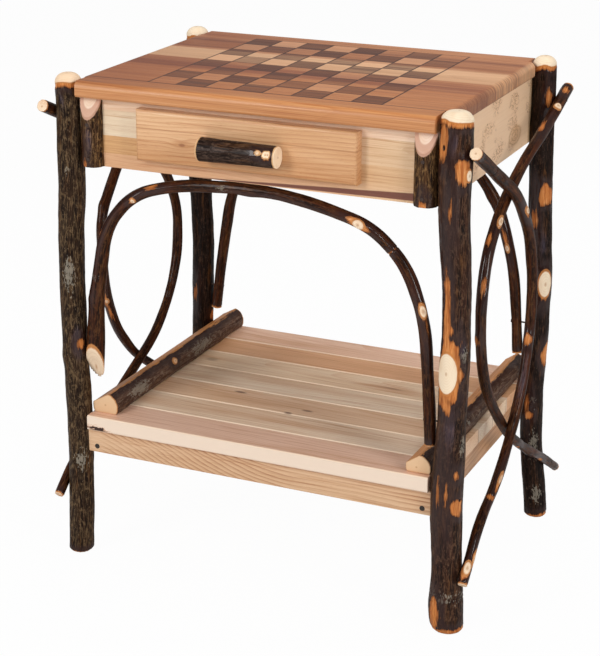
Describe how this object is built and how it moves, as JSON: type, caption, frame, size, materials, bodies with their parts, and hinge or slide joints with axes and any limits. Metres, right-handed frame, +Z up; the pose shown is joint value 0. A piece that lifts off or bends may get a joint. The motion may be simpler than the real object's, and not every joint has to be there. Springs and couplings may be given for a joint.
{
  "type": "side table",
  "caption": "Rustic side table with bark-on log legs, checkerboard slab top, a drawer with a branch pull, slatted lower shelf and bent twig braces.",
  "frame": {"origin": "middle of the footprint on the floor", "axes": "+Z up, -Y towards the drawer's front, +X to the right as seen from the front"},
  "size_m": [0.6494, 0.4741, 0.711],
  "materials": {
    "log_bark": "glossy lacquer over bark",
    "half_log_bark": "glossy lacquer over bark",
    "twig_bark": "glossy lacquer over bark",
    "slab_hickory": "satin lacquer",
    "apron_hickory": "satin lacquer",
    "drawer_hickory": "satin lacquer",
    "shelf_hickory": "satin lacquer",
    "inner_wood": "satin",
    "steel": "dark oxide"
  },
  "bodies": {
    "frame": {"apron_back": "apron_hickory", "apron_front": "apron_hickory", "apron_left": "apron_hickory", "apron_right": "apron_hickory", "apron_screws": "steel", "apron_trim_left": "half_log_bark", "apron_trim_right": "half_log_bark", "arch_back": "twig_bark", "arch_front": "twig_bark", "arch_nails": "steel", "bow_left_back": "twig_bark", "bow_left_front": "twig_bark", "bow_nails": "steel", "bow_right_back": "twig_bark", "bow_right_front": "twig_bark", "corner_block_back_left": "inner_wood", "corner_block_back_right": "inner_wood", "corner_block_front_left": "inner_wood", "corner_block_front_right": "inner_wood", "drawer_runner_left": "inner_wood", "drawer_runner_right": "inner_wood", "fence_screws": "steel", "post_back_left": "log_bark", "post_back_right": "log_bark", "post_front_left": "log_bark", "post_front_right": "log_bark", "post_lags": "steel", "rail_screws": "steel", "runner_screws": "steel", "shelf_fence_left": "half_log_bark", "shelf_fence_right": "half_log_bark", "shelf_rail_back": "shelf_hickory", "shelf_rail_front": "shelf_hickory", "shelf_rail_left": "shelf_hickory", "shelf_rail_right": "shelf_hickory", "shelf_slat_1": "shelf_hickory", "shelf_slat_2": "shelf_hickory", "shelf_slat_3": "shelf_hickory", "shelf_slat_4": "shelf_hickory", "shelf_slat_5": "shelf_hickory", "shelf_slat_6": "shelf_hickory", "shelf_slat_7": "shelf_hickory", "slat_nails": "steel", "top_screws": "steel", "top_stave_1": "slab_hickory", "top_stave_2": "slab_hickory", "top_stave_3": "slab_hickory", "top_stave_4": "slab_hickory", "top_stave_5": "slab_hickory", "top_stave_6": "slab_hickory", "trim_nails": "steel"},
    "drawer": {"drawer_back": "inner_wood", "drawer_bottom": "inner_wood", "drawer_front": "drawer_hickory", "drawer_inner_front": "inner_wood", "drawer_pull": "half_log_bark", "drawer_screws": "steel", "drawer_side_left": "inner_wood", "drawer_side_right": "inner_wood", "pull_screws": "steel"}
  },
  "joints": [
    {"name": "drawer_slide", "type": "slide", "parent": "frame", "child": "drawer", "axis": [0, -1, 0], "range_m": [0, 0.2]}
  ]
}
